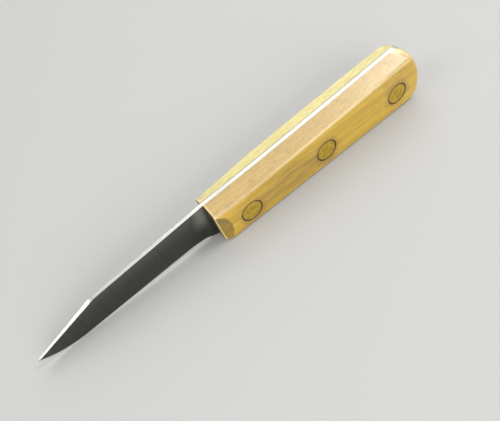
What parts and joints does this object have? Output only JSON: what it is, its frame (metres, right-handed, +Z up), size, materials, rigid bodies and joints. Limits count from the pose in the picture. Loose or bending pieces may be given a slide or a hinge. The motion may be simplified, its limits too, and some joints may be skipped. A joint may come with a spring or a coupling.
{
  "type": "skiving knife",
  "caption": "Small fixed-blade knife with a full tang, a clip-point blade, flat-sided hardwood scales and flush brass rivets, used for paring and skiving leather.",
  "frame": {"origin": "middle of the overall length, on the mid-plane of the steel, level with the flat underside of the handle", "axes": "+X towards the blade's tip, +Y towards the knife's left side (the side of the solid rivet heads), +Z up towards the spine"},
  "size_m": [0.1852, 0.0154, 0.0253],
  "materials": {
    "steel": "satin ground",
    "wood": "oiled and worn",
    "brass": "tarnished"
  },
  "bodies": {
    "root": {"blade": "steel", "left_scale": "wood", "right_scale": "wood", "front_rivet_stud": "brass", "middle_rivet_stud": "brass", "rear_rivet_stud": "brass", "front_rivet_tube": "brass", "middle_rivet_tube": "brass", "rear_rivet_tube": "brass"}
  },
  "joints": []
}
